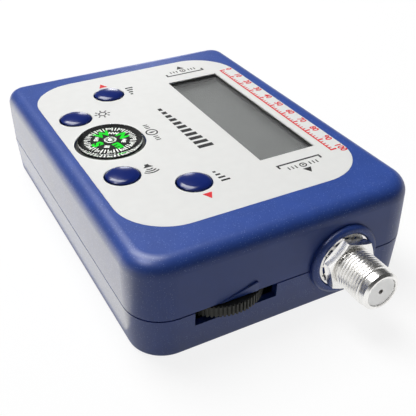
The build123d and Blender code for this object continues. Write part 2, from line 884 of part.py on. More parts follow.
with BuildPart() as wheel_screw:
    with BuildSketch(Plane.XY.offset(recess_floor)):
        with Locations((wheel_x, wheel_y)):
            Circle(wheel_screw_head_radius)
    extrude(amount=wheel_screw_head_height)
    with BuildSketch(Plane.XY.offset(recess_floor + wheel_screw_head_height)):
        with Locations((wheel_x, wheel_y)):
            Rectangle(2 * wheel_screw_head_radius, driver_slot_width)
            Rectangle(driver_slot_width, 2 * wheel_screw_head_radius)
            Circle(wheel_screw_head_radius - driver_slot_width, mode=Mode.INTERSECT)
    extrude(amount=-wheel_screw_head_height / 2, mode=Mode.SUBTRACT)
    with BuildSketch(Plane.XY.offset(recess_floor)):
        with Locations((wheel_x, wheel_y)):
            Circle(wheel_screw_radius)
    extrude(amount=-wheel_screw_length)
save(wheel_screw, "wheel_screw")


def barrel_outline():
    """Points of the barrel's section, from the block to the tip, along the axis and out from it."""
    start = end_face + thread_start
    points = [
        (block_face, pitch_radius),
        (start, pitch_radius),
        (start, thread_root_radius),
    ]
    for turn in range(thread_turns):
        foot = start + turn * thread_pitch
        points += [
            (foot + thread_flank / 2, thread_root_radius),
            (foot + 3 * thread_flank / 2, thread_radius),
            (foot + 3 * thread_flank / 2 + thread_crest, thread_radius),
            (foot + 5 * thread_flank / 2 + thread_crest, thread_root_radius),
        ]
    collar = port_tip - collar_length
    points += [
        (collar, thread_root_radius),
        (collar, pitch_radius),
        (port_tip - tip_chamfer, pitch_radius),
        (port_tip, pitch_radius - tip_chamfer),
        (port_tip, 0),
        (block_face, 0),
    ]
    return points


# Coaxial connectors: each has a body with its barrel, an insulator, a contact, a nut and a toothed washer
for side, port in ((1, "receiver_port"), (-1, "satellite_port")):
    with BuildPart() as port_body:
        with BuildSketch(port_plane(side)):
            with BuildLine():
                Polyline(*barrel_outline(), close=True)
            make_face()
        revolve(axis=port_axis)
        with BuildSketch(Plane.YZ.offset(side * block_back)):
            with Locations((port_y, port_z)):
                Rectangle(block_size, block_size)
        extrude(amount=side * block_depth)
        with BuildSketch(Plane.YZ.offset(side * (block_back + barrel_back_wall))):
            with Locations((port_y, port_z)):
                Circle(barrel_bore_radius)
        extrude(amount=side * case_length, mode=Mode.SUBTRACT)
        with BuildSketch(Plane.YZ.offset(side * (block_back - overrun))):
            with Locations((port_y, port_z)):
                Circle(back_hole_radius)
        extrude(amount=side * block_depth, mode=Mode.SUBTRACT)
    save(port_body, f"{port}_body")

    with BuildPart() as insulator:
        with BuildSketch(port_plane(side)):
            with BuildLine():
                Polyline(
                    (insulator_back, tail_radius + snug_gap),
                    (contact_back - snug_gap, tail_radius + snug_gap),
                    (contact_back - snug_gap, contact_radius + snug_gap),
                    (contact_face + snug_gap, contact_radius + snug_gap),
                    (contact_face + snug_gap, socket_radius),
                    (insulator_face, socket_radius),
                    (insulator_face, barrel_bore_radius - snug_gap),
                    (insulator_back, barrel_bore_radius - snug_gap),
                    close=True,
                )
            make_face()
        revolve(axis=port_axis)
    save(insulator, f"{port}_insulator")

    with BuildPart() as contact:
        with BuildSketch(port_plane(side)):
            with BuildLine():
                Polyline(
                    (contact_back, 0),
                    (contact_back, contact_radius),
                    (contact_face, contact_radius),
                    (contact_face, socket_radius),
                    (contact_back + contact_radius, socket_radius),
                    (contact_back + contact_radius, 0),
                    close=True,
                )
            make_face()
        revolve(axis=port_axis)
        with BuildSketch(Plane.YZ.offset(side * (tail_x - tail_radius))):
            with Locations((port_y, port_z)):
                Circle(tail_radius)
        extrude(amount=side * (contact_back - tail_x + tail_radius))
        with BuildSketch(Plane.XY.offset(port_z)):
            with Locations((side * tail_x, port_y)):
                Circle(tail_radius)
        extrude(amount=board_bottom - tail_radius - port_z)
    save(contact, f"{port}_contact")

    with BuildPart() as nut:
        with BuildSketch(Plane.YZ.offset(side * nut_front)):
            with Locations((port_y, port_z)):
                RegularPolygon(nut_across_flats / 2, 6, major_radius=False, rotation=nut_turn)
                Circle(pitch_radius + snug_gap, mode=Mode.SUBTRACT)
        extrude(amount=-side * nut_thickness)
        corner = nut_across_flats / 2 / cos(radians(30))
        with BuildSketch(port_plane(side)):
            with BuildLine():
                Polyline(
                    (nut_front, 0),
                    (nut_front, corner - nut_bevel),
                    (nut_front - nut_bevel / 2, corner),
                    (nut_front - nut_thickness + nut_bevel / 4, corner),
                    (nut_front - nut_thickness, corner - nut_bevel / 2),
                    (nut_front - nut_thickness, 0),
                    close=True,
                )
            make_face()
        revolve(axis=port_axis, mode=Mode.INTERSECT)
    save(nut, f"{port}_nut")

    washer_x = side * (end_face + washer_centre)
    with BuildPart() as washer:
        with BuildSketch(Plane.YZ.offset(washer_x - washer_thickness / 2)):
            with Locations((port_y, port_z)):
                Circle(washer_radius)
                Circle(washer_radius - washer_rim, mode=Mode.SUBTRACT)
        extrude(amount=washer_thickness)
        for tooth in range(washer_teeth):
            angle = radians(360 * tooth / washer_teeth)
            outwards = Vector(0, cos(angle), sin(angle))
            twist = radians(tooth_twist)
            across = Vector(0, -sin(angle), cos(angle))
            face = across * sin(twist) + Vector(side * cos(twist), 0, 0)
            middle = tooth_inner_radius + tooth_length / 2
            place = Plane(
                origin=Vector(washer_x, port_y, port_z) + outwards * middle, x_dir=outwards, z_dir=face
            )
            with Locations(place):
                Box(tooth_length, tooth_width, tooth_thickness)
    save(washer, f"{port}_washer")

# Main board, notched round the pillars
with BuildPart() as main_board:
    with BuildSketch(Plane.XY.offset(board_bottom)):
        RectangleRounded(board_length, board_width, board_corner)
        with Locations(*corners(case_screw_x, case_screw_y)):
            Circle(pillar_radius + moving_gap, mode=Mode.SUBTRACT)
        with Locations(*corners(floor_post_x, floor_post_y)):
            Circle(board_screw_radius + static_gap, mode=Mode.SUBTRACT)
        with Locations((tail_x, port_y), (-tail_x, port_y)):
            Circle(tail_radius + static_gap, mode=Mode.SUBTRACT)
        with Locations((header_x, header_y)):
            with GridLocations(pin_pitch, pin_pitch, pin_columns, pin_rows):
                Rectangle(pin_size + 2 * snug_gap, pin_size + 2 * snug_gap, mode=Mode.SUBTRACT)
    extrude(amount=board_thickness)
save(main_board, "main_board")

# Tin can over the tuner stage
with BuildPart() as shield_can:
    with BuildSketch(Plane.XY.offset(board_top)):
        with Locations((shield_x, shield_y)):
            Rectangle(shield_length, shield_width)
    extrude(amount=shield_height)
    with BuildSketch(Plane.XY.offset(board_top)):
        with Locations((shield_x, shield_y)):
            Rectangle(shield_length - 2 * shield_sheet, shield_width - 2 * shield_sheet)
    extrude(amount=shield_height - shield_sheet, mode=Mode.SUBTRACT)
save(shield_can, "shield_can")

# Buzzer
with BuildPart() as buzzer:
    with BuildSketch(Plane.XY.offset(board_top)):
        with Locations((buzzer_x, buzzer_y)):
            Circle(buzzer_radius)
    extrude(amount=buzzer_height)
    with BuildSketch(Plane.XY.offset(board_top + buzzer_height)):
        with Locations((buzzer_x, buzzer_y)):
            Circle(buzzer_hole_radius)
    extrude(amount=-buzzer_hole_depth, mode=Mode.SUBTRACT)
save(buzzer, "buzzer")

# Processor, small chips, capacitors and crystal
with BuildPart() as processor:
    with BuildSketch(Plane.XY.offset(board_top)):
        with Locations((processor_x, processor_y)):
            Rectangle(processor_size, processor_size)
    extrude(amount=processor_height)
save(processor, "processor")

with BuildPart() as chips:
    with BuildSketch(Plane.XY.offset(board_top)):
        with Locations(*[(chip_x - i * chip_pitch, chip_y) for i in range(chip_count - 1)]):
            Rectangle(chip_length, chip_width)
        with Locations((chip_x, chip_y + 2 * chip_pitch)):
            Rectangle(chip_width, chip_length)
    extrude(amount=chip_height)
save(chips, "chips")

with BuildPart() as capacitors:
    with BuildSketch(Plane.XY.offset(board_top)):
        with Locations(*[(can_x, can_y - i * can_pitch) for i in range(can_count)]):
            Circle(can_radius)
    extrude(amount=can_height)
save(capacitors, "capacitors")

with BuildPart() as crystal:
    with BuildSketch(Plane.XY.offset(board_top)):
        with Locations((crystal_x, crystal_y)):
            SlotOverall(crystal_length, crystal_width)
    extrude(amount=crystal_height)
save(crystal, "crystal")

# Pin header: strip with pins on the main board, socket under the key board
with BuildPart() as header_strip:
    with BuildSketch(Plane.XY.offset(board_top)):
        with Locations((header_x, header_y)):
            Rectangle(header_length, header_width)
            with GridLocations(pin_pitch, pin_pitch, pin_columns, pin_rows):
                Rectangle(pin_size + 2 * snug_gap, pin_size + 2 * snug_gap, mode=Mode.SUBTRACT)
    extrude(amount=header_base_height)
save(header_strip, "header_strip")

with BuildPart() as header_pins:
    with BuildSketch(Plane.XY.offset(board_top - header_pin_tail)):
        with Locations((header_x, header_y)):
            with GridLocations(pin_pitch, pin_pitch, pin_columns, pin_rows):
                Rectangle(pin_size, pin_size)
    extrude(amount=header_pin_tail + header_base_height + header_pin_rise)
save(header_pins, "header_pins")

with BuildPart() as header_socket:
    with BuildSketch(Plane.XY.offset(header_top)):
        with Locations((header_x, header_y)):
            Rectangle(header_length, header_width)
            with GridLocations(pin_pitch, pin_pitch, pin_columns, pin_rows):
                Rectangle(pin_size + 2 * snug_gap, pin_size + 2 * snug_gap, mode=Mode.SUBTRACT)
    extrude(amount=header_pin_rise + static_gap)
    with BuildSketch(Plane.XY.offset(header_top + header_pin_rise + static_gap)):
        with Locations((header_x, header_y)):
            Rectangle(header_length, header_width)
    extrude(amount=key_board_bottom - header_top - header_pin_rise - static_gap)
save(header_socket, "header_socket")


def screws(places, seat, way, radius, length, head_radius, head_height):
    """Cross-slotted pan head screws. The heads' flat side is at seat and the shanks run the way given."""
    with BuildPart() as group:
        with BuildSketch(Plane.XY.offset(seat)):
            with Locations(*places):
                Circle(head_radius)
        extrude(amount=-way * head_height)
        with BuildSketch(Plane.XY.offset(seat - way * head_height)):
            with Locations(*places):
                Rectangle(2 * head_radius - driver_slot_width, driver_slot_width)
                Rectangle(driver_slot_width, 2 * head_radius - driver_slot_width)
        extrude(amount=way * head_height / 2, mode=Mode.SUBTRACT)
        with BuildSketch(Plane.XY.offset(seat)):
            with Locations(*places):
                Circle(radius)
        extrude(amount=way * length)
    return group


case_screws = screws(
    corners(case_screw_x, case_screw_y),
    case_screw_seat,
    1,
    case_screw_radius,
    case_screw_length,
    case_screw_head_radius,
    case_screw_head_height,
)
save(case_screws, "case_screws")

board_screws = screws(
    corners(floor_post_x, floor_post_y),
    board_top,
    -1,
    board_screw_radius,
    board_screw_length,
    board_screw_head_radius,
    board_screw_head_height,
)
save(board_screws, "board_screws")

key_board_screws = screws(
    roof_posts,
    key_board_bottom,
    1,
    board_screw_radius,
    board_screw_length + key_board_thickness - 2 * static_gap,
    board_screw_head_radius,
    board_screw_head_height,
)
save(key_board_screws, "key_board_screws")
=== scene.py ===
from math import atan, cos, pi, radians, sin

import bmesh
import bpy
from mathutils import Matrix, Vector


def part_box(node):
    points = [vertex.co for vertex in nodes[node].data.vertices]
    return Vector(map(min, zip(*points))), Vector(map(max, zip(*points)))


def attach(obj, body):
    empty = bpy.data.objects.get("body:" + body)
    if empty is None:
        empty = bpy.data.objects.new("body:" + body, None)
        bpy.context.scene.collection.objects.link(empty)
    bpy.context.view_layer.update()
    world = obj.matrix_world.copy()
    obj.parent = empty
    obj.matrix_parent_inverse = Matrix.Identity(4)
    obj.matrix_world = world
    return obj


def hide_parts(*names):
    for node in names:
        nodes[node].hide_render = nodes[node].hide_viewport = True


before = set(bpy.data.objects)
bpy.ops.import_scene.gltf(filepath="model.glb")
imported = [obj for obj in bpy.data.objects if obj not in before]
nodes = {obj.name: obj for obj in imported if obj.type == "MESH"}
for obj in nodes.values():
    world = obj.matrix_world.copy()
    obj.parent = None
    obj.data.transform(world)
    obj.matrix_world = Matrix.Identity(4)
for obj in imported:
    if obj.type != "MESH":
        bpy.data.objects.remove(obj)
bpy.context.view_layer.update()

# A satellite signal meter on a pale floor. Sizes here are in metres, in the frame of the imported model.
# +X runs towards the end with the thumbwheel, +Y towards the display edge, +Z up.
mm = 0.001
scene = bpy.context.scene


def top_of(name):
    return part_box(name)[1].z


def centre_of(name):
    low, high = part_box(name)
    return (low + high) / 2


def place_of(name):
    """The middle of a node, seen from above."""
    return centre_of(name).xy


def half_width(name):
    """Half the size of a node along X, which is the radius of a round one."""
    low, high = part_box(name)
    return (high.x - low.x) / 2


# Camera, fitted to the photograph. Blender wants its sensor in millimetres.
eye = Vector((138.96, -67.39, 103.9)) * mm
view_azimuth = radians(62.26)
view_elevation = radians(33.86)
view_roll = radians(-0.33)
photo_side = 416
focal_pixels = 688.23
sensor_width = 36.0
nearest_seen = 5 * mm


def make_camera():
    back = Vector(
        (
            sin(view_azimuth) * cos(view_elevation),
            -cos(view_azimuth) * cos(view_elevation),
            sin(view_elevation),
        )
    )
    level_right = Vector((cos(view_azimuth), sin(view_azimuth), 0))
    level_up = back.cross(level_right)
    right = cos(view_roll) * level_right + sin(view_roll) * level_up
    up = cos(view_roll) * level_up - sin(view_roll) * level_right
    data = bpy.data.cameras.new("camera")
    data.sensor_width = sensor_width
    data.lens = focal_pixels / photo_side * sensor_width
    data.clip_start = nearest_seen
    camera = bpy.data.objects.new("camera", data)
    camera.matrix_world = Matrix.Translation(eye) @ Matrix((right, up, back)).transposed().to_4x4()
    scene.collection.objects.link(camera)
    scene.camera = camera


# Material nodes. Noise stays mostly between these two values, and what it drives changes between them.
noise_low = 0.3
noise_high = 0.7


def node(tree, kind, **inputs):
    """A new node; each keyword is one of its inputs, with underscores for blanks."""
    made = tree.nodes.new("ShaderNode" + kind)
    for name, value in inputs.items():
        put(tree, made.inputs[name.replace("_", " ")], value)
    return made


def put(tree, socket, value):
    """Sets a socket to a value, or links it if the value is another socket."""
    if isinstance(value, bpy.types.NodeSocket):
        tree.links.new(value, socket)
    elif isinstance(value, tuple) and socket.type == "RGBA":
        socket.default_value = (*value, 1)
    else:
        socket.default_value = value


def start_material(name):
    """A material with its tree, its shader and the piece's own coordinates."""
    material = bpy.data.materials.new(name)
    material.use_nodes = True
    tree = material.node_tree
    shader = tree.nodes["Principled BSDF"]
    place = node(tree, "TexCoord").outputs["Object"]
    return material, tree, shader, place


def stretched(tree, place, scale):
    """Coordinates scaled along each axis; a small scale draws a pattern out along its axis."""
    return node(tree, "Mapping", Vector=place, Scale=scale).outputs["Vector"]


def noise(tree, place, size, detail=2.0):
    """Soft noise with features about this many metres wide."""
    made = node(tree, "TexNoise", Vector=place, Scale=1 / size, Detail=detail)
    return made.outputs["Fac"]


def between(tree, factor, low, high, start=noise_low, end=noise_high):
    """A number that goes from low to high as the factor goes from start to end."""
    made = node(tree, "MapRange", Value=factor)
    made.inputs["From Min"].default_value = start
    made.inputs["From Max"].default_value = end
    made.inputs["To Min"].default_value = low
    made.inputs["To Max"].default_value = high
    return made.outputs["Result"]


def tones(tree, factor, first, last):
    """A colour that goes from the first to the last as noise goes from its low to its high value."""
    made = node(tree, "ValToRGB", Fac=factor)
    stops = ((noise_low, first), (noise_high, last))
    for element, (position, colour) in zip(made.color_ramp.elements, stops):
        element.position = position
        element.color = (*colour, 1)
    return made.outputs["Color"]


def calculated(tree, operation, first, second):
    """A number worked out from two others."""
    made = node(tree, "Math")
    made.operation = operation
    put(tree, made.inputs[0], first)
    put(tree, made.inputs[1], second)
    return made.outputs[0]


def mixed_numbers(tree, factor, first, second):
    """A number that goes from the first to the second with the factor."""
    made = node(tree, "Mix", A=first, B=second)
    put(tree, made.inputs[0], factor)
    return made.outputs[0]


def mixed_colours(tree, factor, first, second):
    """A colour that goes from the first to the second with the factor.

    Its sockets go by number, because the node has an A and a B for each kind of value.
    """
    made = node(tree, "Mix")
    made.data_type = "RGBA"
    put(tree, made.inputs[0], factor)
    put(tree, made.inputs[6], first)
    put(tree, made.inputs[7], second)
    return made.outputs[2]


def mixed_shaders(tree, factor, first, second):
    """A surface that goes from the first shader to the second with the factor."""
    made = node(tree, "MixShader")
    put(tree, made.inputs[0], factor)
    put(tree, made.inputs[1], first.outputs[0])
    put(tree, made.inputs[2], second.outputs[0])
    return made.outputs[0]


def bumped(tree, height, depth):
    """A normal disturbed by a height of this many metres."""
    return node(tree, "Bump", Height=height, Distance=depth, Strength=1.0).outputs["Normal"]


def shade(colour, share):
    return tuple(channel * share for channel in colour)


# Materials
roughness_spread = 0.15
grains_per_cloud = 12


def finish(
    name, colour, roughness=0.4, spread=0.12, grain=0.3 * mm, depth=0.002 * mm, stretch=(1, 1, 1), **sockets
):
    """A surface with fine grain in its roughness and height, and broad clouds in its colour.

    Spread is how far the colour varies, and sockets are the shader's own.
    """
    material, tree, shader, place = start_material(name)
    place = stretched(tree, place, stretch)
    fine = noise(tree, place, grain, detail=3.0)
    broad = noise(tree, place, grains_per_cloud * grain)
    tone = tones(tree, broad, shade(colour, 1 - spread), shade(colour, 1 + spread))
    smooth, rough = (1 - roughness_spread) * roughness, (1 + roughness_spread) * roughness
    put(tree, shader.inputs["Base Color"], tone)
    put(tree, shader.inputs["Roughness"], between(tree, fine, smooth, rough))
    put(tree, shader.inputs["Normal"], bumped(tree, fine, depth))
    for socket, value in sockets.items():
        put(tree, shader.inputs[socket.replace("_", " ")], value)
    return material


shell_blue = (0.03, 0.082, 0.37)
shell_spread = 0.06
shell_cloud = 6 * mm
shell_grain = 0.22 * mm
shell_grain_depth = 0.003 * mm
shell_roughness = (0.34, 0.42)
shell_ior = 1.52
# The lighter blue of the specks is a painted glint, which stands in for light off the pearl flakes.
painted_glint_blue = (0.2, 0.3, 0.68)
speck_size = 0.3 * mm
speck_draw = (0.62, 0.97)
speck_edge = (0.1, 0.4)


def make_shell_plastic():
    """Blue satin plastic with fine pearl flakes, whose glints are painted into the colour as lighter specks.
    A cell's random number draws the few that show a speck.
    """
    material, tree, shader, place = start_material("blue_shell")
    cells = node(tree, "TexVoronoi", Vector=place, Scale=1 / speck_size)
    lottery = node(tree, "SeparateColor", Color=cells.outputs["Color"]).outputs["Red"]
    chosen = between(tree, lottery, 0, 1, *speck_draw)
    core = between(tree, cells.outputs["Distance"], 1, 0, *speck_edge)
    speck = calculated(tree, "MULTIPLY", chosen, core)
    cloud = noise(tree, place, shell_cloud)
    base = tones(tree, cloud, shade(shell_blue, 1 - shell_spread), shade(shell_blue, 1 + shell_spread))
    fine = noise(tree, place, shell_grain, detail=3.0)
    # Painted glint: the chosen specks get a lighter blue in the base colour.
    put(tree, shader.inputs["Base Color"], mixed_colours(tree, speck, base, painted_glint_blue))
    put(tree, shader.inputs["Roughness"], between(tree, fine, *shell_roughness))
    put(tree, shader.inputs["Normal"], bumped(tree, fine, shell_grain_depth))
    shader.inputs["IOR"].default_value = shell_ior
    return material


haze_size = 3 * mm
haze_spread = 0.2
haze_shade = 0.99


def make_clear(name, tint, ior, roughness):
    """Clear plastic or liquid. Rays from lamps go straight through it, so that they light what is behind."""
    material, tree, shader, place = start_material(name)
    haze = noise(tree, place, haze_size)
    smooth, rough = (1 - haze_spread) * roughness, (1 + haze_spread) * roughness
    put(tree, shader.inputs["Roughness"], between(tree, haze, smooth, rough))
    put(tree, shader.inputs["Base Color"], tones(tree, haze, shade(tint, haze_shade), tint))
    shader.inputs["Transmission Weight"].default_value = 1.0
    shader.inputs["IOR"].default_value = ior
    to_lamp = node(tree, "LightPath").outputs["Is Shadow Ray"]
    surface = mixed_shaders(tree, to_lamp, shader, node(tree, "BsdfTransparent", Color=tint))
    put(tree, tree.nodes["Material Output"].inputs["Surface"], surface)
    return material


turning_stretch = (1, 0.04, 0.04)
turning_size = 0.05 * mm
turning_depth = 0.0006 * mm
turning_smooth = 0.8
turning_rough = 1.3
plating_cloud = 2.5 * mm
plating_shade = 0.93


def make_turned_metal(name, colour, roughness):
    """Plated metal with fine turning marks round the connectors' axis."""
    material, tree, shader, place = start_material(name)
    marks = noise(tree, stretched(tree, place, turning_stretch), turning_size)
    cloud = noise(tree, place, plating_cloud)
    smooth, rough = turning_smooth * roughness, turning_rough * roughness
    put(tree, shader.inputs["Base Color"], tones(tree, cloud, shade(colour, plating_shade), colour))
    put(tree, shader.inputs["Roughness"], between(tree, marks, smooth, rough))
    put(tree, shader.inputs["Normal"], bumped(tree, marks, turning_depth))
    shader.inputs["Metallic"].default_value = 1.0
    return material


board_greens = ((0.01, 0.07, 0.03), (0.014, 0.09, 0.04))
board_cloud = 4 * mm
board_grain = 0.3 * mm
board_roughness = (0.3, 0.4)
track_green = (0.025, 0.16, 0.06)
track_length = 7 * mm
track_pitch = 0.9 * mm
track_width = 0.12 * mm
track_height = 0.02 * mm
track_stagger = 0.37


def make_board_laminate():
    """Green solder mask over copper tracks."""
    material, tree, shader, place = start_material("green_board")
    tracks = node(tree, "TexBrick", Vector=place, Scale=1.0)
    tracks.offset = track_stagger
    tracks.inputs["Brick Width"].default_value = track_length
    tracks.inputs["Row Height"].default_value = track_pitch
    tracks.inputs["Mortar Size"].default_value = track_width
    track = tracks.outputs["Fac"]
    base = tones(tree, noise(tree, place, board_cloud), *board_greens)
    fine = noise(tree, place, board_grain)
    put(tree, shader.inputs["Base Color"], mixed_colours(tree, track, base, track_green))
    put(tree, shader.inputs["Roughness"], between(tree, fine, *board_roughness))
    put(tree, shader.inputs["Normal"], bumped(tree, track, track_height))
    return material


display_greys = ((0.041, 0.043, 0.041), (0.047, 0.049, 0.047))
display_cloud = 5 * mm
display_cell = 0.25 * mm
display_cell_depth = 0.001 * mm
display_roughness = (0.3, 0.42)


def make_display_glass():
    """Grey liquid crystal layer, dark and blank, with a faint cell pattern."""
    material, tree, shader, place = start_material("display_glass_grey")
    cells = noise(tree, place, display_cell, detail=1.0)
    cloud = noise(tree, place, display_cloud)
    put(tree, shader.inputs["Base Color"], tones(tree, cloud, *display_greys))
    put(tree, shader.inputs["Roughness"], between(tree, cells, *display_roughness))
    put(tree, shader.inputs["Normal"], bumped(tree, cells, display_cell_depth))
    return material


def make_materials():
    """All materials. A finish has its colour, roughness, spread, grain and depth in this order."""
    return {
        "shell": make_shell_plastic(),
        "label": finish("label_white", (0.86, 0.862, 0.845), 0.5, 0.012, 0.2 * mm, 0.001 * mm),
        "window": make_clear("window_clear", (0.97, 0.98, 0.98), 1.49, 0.03),
        "display": make_display_glass(),
        "black": finish("black_plastic", (0.012, 0.012, 0.013), 0.4),
        "strip": finish("strip_rubber", (0.05, 0.05, 0.055), 0.7, stretch=(4, 1, 1)),
        "backlight": finish("backlight_white", (0.75, 0.77, 0.78), 0.5),
        "board": make_board_laminate(),
        "button": finish("navy_button", (0.006, 0.021, 0.18), 0.2, 0.08, 0.4 * mm, 0.0006 * mm),
        "clear": make_clear("compass_clear", (0.985, 0.99, 0.985), 1.58, 0.01),
        "white": finish("white_plastic", (0.72, 0.72, 0.7), 0.4),
        "card": finish(
            "card_black", (0.012, 0.013, 0.012), 0.45, 0.1, 0.15 * mm, 0.001 * mm, Specular_IOR_Level=0.08
        ),
        "hub": finish("hub_silver", (0.8, 0.79, 0.78), 0.22, 0.06, 0.2 * mm, 0.001 * mm, Metallic=1.0),
        "steel": finish("steel_plated", (0.56, 0.55, 0.53), 0.3, 0.06, 0.2 * mm, 0.001 * mm, Metallic=1.0),
        "wheel": finish("wheel_black", (0.02, 0.021, 0.015), 0.6, 0.15, 0.15 * mm, 0.003 * mm),
        "tin": finish("tin_plate", (0.66, 0.66, 0.67), 0.25, 0.05, 0.3 * mm, 0.001 * mm, Metallic=1.0),
        "can": finish("can_aluminium", (0.75, 0.76, 0.78), 0.3, 0.05, 0.2 * mm, 0.001 * mm, Metallic=1.0),
        "nickel": make_turned_metal("nickel_plate", (0.93, 0.92, 0.9), 0.24),
        "insulator": finish("insulator_white", (0.86, 0.86, 0.85), 0.4, 0.03, 0.3 * mm, 0.002 * mm),
        "brass": make_turned_metal("contact_brass", (0.72, 0.5, 0.22), 0.2),
        "red_ink": finish("red_ink", (0.78, 0.006, 0.014), 0.6, 0.05, 0.15 * mm, 0.0005 * mm),
        "black_ink": finish("black_ink", (0.008, 0.008, 0.009), 0.6, 0.1, 0.15 * mm, 0.0005 * mm),
        "white_ink": finish("white_ink", (0.82, 0.82, 0.8), 0.5, 0.03, 0.15 * mm, 0.0005 * mm),
        "green_ink": finish(
            "green_ink", (0.003, 0.58, 0.014), 0.5, 0.04, 0.15 * mm, 0.0005 * mm, Specular_IOR_Level=0.08
        ),
    }


node_finishes = {
    "shell": ["top_shell", "bottom_shell"],
    "label": ["face_label"],
    "window": ["display_window"],
    "display": ["display_glass"],
    "black": [
        "display_frame", "compass_cup", "switch_cases", "buzzer", "processor", "chips",
        "header_strip", "header_socket", "potentiometer_case",
        "down_switch_plunger", "light_switch_plunger", "buzzer_switch_plunger", "up_switch_plunger",
    ],
    "strip": ["display_strips"],
    "backlight": ["display_backlight"],
    "board": ["key_board", "main_board"],
    "button": ["down_button", "light_button", "buzzer_button", "up_button"],
    "clear": ["compass_capsule"],
    "white": ["compass_base"],
    "card": ["compass_card"],
    "hub": ["compass_hub"],
    "steel": [
        "compass_pivot", "compass_magnets", "wheel_screw", "case_screws", "board_screws",
        "key_board_screws", "potentiometer_shaft", "header_pins",
    ],
    "wheel": ["thumbwheel"],
    "tin": ["shield_can", "crystal"],
    "can": ["capacitors"],
    "nickel": [
        "receiver_port_body", "receiver_port_nut", "receiver_port_washer",
        "satellite_port_body", "satellite_port_nut", "satellite_port_washer",
    ],
    "insulator": ["receiver_port_insulator", "satellite_port_insulator"],
    "brass": ["receiver_port_contact", "satellite_port_contact"],
}


def paint_nodes(materials):
    for finish_name, names in node_finishes.items():
        for name in names:
            for material_slot in nodes[name].material_slots:
                material_slot.material = materials[finish_name]


# Meshes
weld_distance = 0.0005 * mm
smooth_angle = radians(35)
ring_steps = 72
glyph_steps = 5


def make_piece(name, shape, material, body):
    """A piece from a finished bmesh; it rides on a body."""
    bmesh.ops.remove_doubles(shape, verts=shape.verts, dist=weld_distance)
    bmesh.ops.recalc_face_normals(shape, faces=shape.faces)
    mesh = bpy.data.meshes.new(name)
    shape.to_mesh(mesh)
    shape.free()
    mesh.materials.append(material)
    mesh.shade_smooth()
    mesh.set_sharp_from_angle(angle=smooth_angle)
    piece = bpy.data.objects.new(name, mesh)
    scene.collection.objects.link(piece)
    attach(piece, body)
    return piece


def join_loops(shape, loops, ends="capped"):
    """Quads between loops with equally many points. The ends are capped, or joined to each other."""
    rows = [[shape.verts.new(point) for point in loop] for loop in loops]
    pairs = list(zip(rows, rows[1:]))
    if ends == "joined":
        pairs.append((rows[-1], rows[0]))
    for row, following in pairs:
        for i in range(len(row)):
            j = (i + 1) % len(row)
            shape.faces.new((row[i], row[j], following[j], following[i]))
    if ends == "capped":
        shape.faces.new(rows[0])
        shape.faces.new(rows[-1])


def add_prism(shape, outline, low, high):
    """A flat closed prism over an outline of (x, y) points."""
    join_loops(shape, [[(x, y, z) for x, y in outline] for z in (low, high)])


def full_turn(steps):
    """Angles evenly spread over a full turn."""
    return [2 * pi * i / steps for i in range(steps)]


def arc(centre, radius, angles):
    """Points at these angles round a centre."""
    return [(centre[0] + radius * cos(angle), centre[1] + radius * sin(angle)) for angle in angles]


def add_ring(shape, centre, inner, outer, low, high, start=0, end=360, steps=ring_steps):
    """A flat closed ring, or a piece of one between two angles in degrees."""
    count = max(3, round(steps * (end - start) / 360))
    angles = [radians(start + (end - start) * i / count) for i in range(count + 1)]
    if end - start < 360:
        add_prism(shape, arc(centre, outer, angles) + arc(centre, inner, angles)[::-1], low, high)
        return
    sections = [(inner, low), (outer, low), (outer, high), (inner, high)]
    loops = [[(x, y, z) for x, y in arc(centre, radius, angles[:-1])] for radius, z in sections]
    join_loops(shape, loops, ends="joined")


def add_bar(shape, start, end, width, low, high):
    """A straight bar between two points."""
    along = (Vector(end) - Vector(start)).normalized() * (width / 2)
    side = Vector((-along.y, along.x))
    first, last = Vector(start), Vector(end)
    add_prism(shape, [first - side, last - side, last + side, first + side], low, high)


def add_triangle(shape, tip, base_middle, half_base, low, high):
    """A filled arrow head from its tip and the middle of its base."""
    along = (Vector(base_middle) - Vector(tip)).normalized()
    side = Vector((-along.y, along.x)) * half_base
    add_prism(shape, [Vector(tip), Vector(base_middle) - side, Vector(base_middle) + side], low, high)


def add_text(shape, text, size, centre, turn, low, high, weight):
    """Characters as a flat closed shape. Weight thickens the strokes, as a share of the size."""
    curve = bpy.data.curves.new("characters", "FONT")
    curve.body = text
    curve.align_x = "CENTER"
    curve.align_y = "CENTER"
    curve.extrude = (high - low) / 2 / size
    curve.offset = weight
    curve.resolution_u = glyph_steps
    holder = bpy.data.objects.new("characters", curve)
    scene.collection.objects.link(holder)
    bpy.context.view_layer.update()
    mesh = bpy.data.meshes.new_from_object(holder.evaluated_get(bpy.context.evaluated_depsgraph_get()))
    place = Matrix.Translation((*centre, (low + high) / 2)) @ Matrix.Rotation(turn, 4, "Z")
    mesh.transform(place @ Matrix.Scale(size, 4))
    shape.from_mesh(mesh)
    bpy.data.objects.remove(holder)
    bpy.data.curves.remove(curve)
    bpy.data.meshes.remove(mesh)


# Prints on the label. Ink is the bottom and the top of each.
ink_rise = 0.03 * mm
label_top = top_of("face_label")
ink = (label_top, label_top + ink_rise)
dash_count = 3

scale_start = (-28.2 * mm, 24.9 * mm)
scale_length = 54.4 * mm
scale_steps = 50
scale_steps_per_long_tick = 5
scale_line = 0.4 * mm
scale_overhang = 0.25 * mm
scale_long_tick = (1.5 * mm, 0.5 * mm)
scale_short_tick = (0.85 * mm, 0.3 * mm)
scale_digit_size = 2.4 * mm
scale_digit_rise = 2.75 * mm
scale_digit_weight = 0.025


